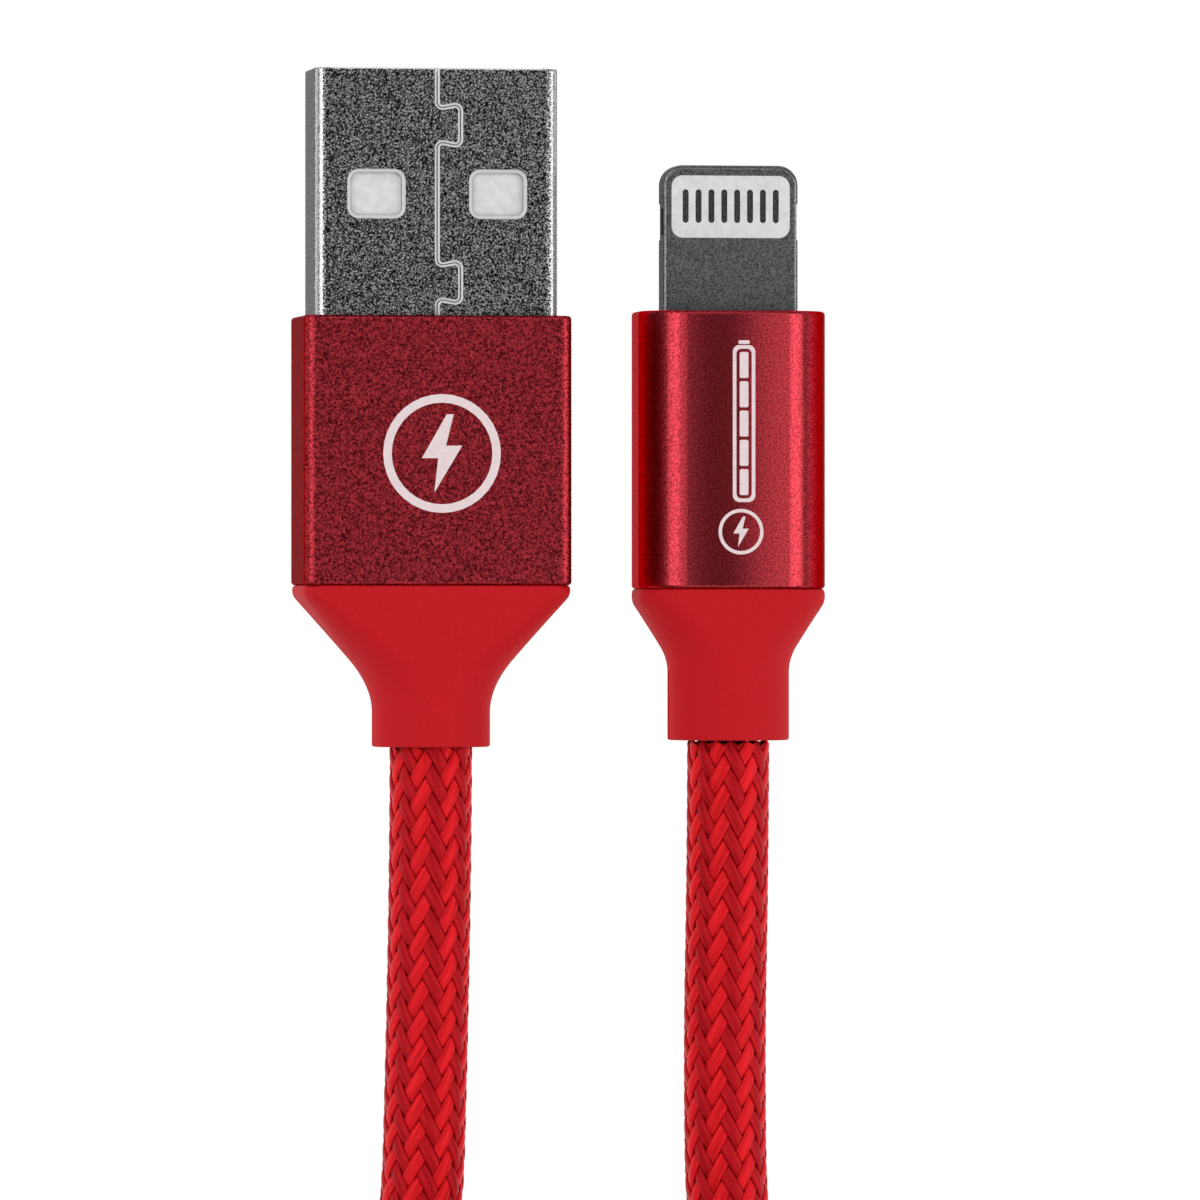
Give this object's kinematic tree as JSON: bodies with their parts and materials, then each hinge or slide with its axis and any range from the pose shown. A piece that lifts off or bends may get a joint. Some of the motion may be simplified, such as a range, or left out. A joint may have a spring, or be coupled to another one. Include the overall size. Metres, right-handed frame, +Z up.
{
  "type": "charging cable",
  "caption": "Red braided charging cable: USB-A plug and slim eight-contact plug side by side, each in a metal sleeve with a soft boot, the cable running off into a tied hank.",
  "frame": {"origin": "on the surface under the middle of the two plugs, the cable left out", "axes": "+Y along both plugs towards their tips, +X from the USB-A plug to the eight-contact plug, +Z up"},
  "size_m": [0.0386, 0.1292, 0.0164],
  "materials": {
    "nickel_plated_steel": "fine-grained, dark nickel plating",
    "white_plastic": "moulded, satin",
    "gold_contact": "gold plated",
    "tin_solder": "tin solder",
    "housing_red_usb": "red anodised, fine blasted grain",
    "housing_red_tip": "red anodised, fine blasted grain",
    "boot_red": "matte thermoplastic elastomer",
    "braid_red": "woven nylon yarn, silky",
    "jacket_red": "extruded soft jacket",
    "mould_white": "natural polyethylene",
    "mould_black": "moulded, matte",
    "copper_crimp": "pressed ring",
    "tip_metal": "nickel plated, fine grain",
    "board_green": "solder-masked board",
    "chip_black": "moulded chip package",
    "capacitor_tan": "ceramic",
    "tinplate": "pressed tinplate",
    "wire_red": "insulated wire",
    "wire_black": "insulated wire",
    "wire_white": "insulated wire",
    "wire_green": "insulated wire",
    "strap_black": "hook-and-loop tape"
  },
  "bodies": {
    "root": {"usb_shell": "nickel_plated_steel", "usb_insulator": "white_plastic", "usb_contact_ground": "gold_contact", "usb_contact_data_plus": "gold_contact", "usb_contact_data_minus": "gold_contact", "usb_contact_power": "gold_contact", "usb_solder_joints": "tin_solder", "usb_inner_mould": "mould_white", "usb_housing": "housing_red_usb", "usb_boot": "boot_red", "usb_jacket_end": "jacket_red", "usb_braid_end": "braid_red", "usb_crimp_ring": "copper_crimp", "usb_wire_ground": "wire_black", "usb_wire_power": "wire_red", "usb_wire_data_plus": "wire_green", "usb_wire_data_minus": "wire_white", "tip_frame": "tip_metal", "tip_insulator": "white_plastic", "tip_contacts_upper": "gold_contact", "tip_contacts_lower": "gold_contact", "tip_board": "board_green", "tip_controller_chip": "chip_black", "tip_capacitors": "capacitor_tan", "tip_shield_can_upper": "tinplate", "tip_shield_can_lower": "tinplate", "tip_solder_joints": "tin_solder", "tip_wire_ground": "wire_black", "tip_wire_power": "wire_red", "tip_wire_data_plus": "wire_green", "tip_wire_data_minus": "wire_white", "tip_inner_mould": "mould_black", "tip_housing": "housing_red_tip", "tip_boot": "boot_red", "tip_jacket_end": "jacket_red", "tip_braid_end": "braid_red", "tip_crimp_ring": "copper_crimp", "cable_usb_run": "braid_red", "cable_tip_run": "braid_red", "cable_hank": "braid_red", "hank_tie": "strap_black"}
  },
  "joints": []
}
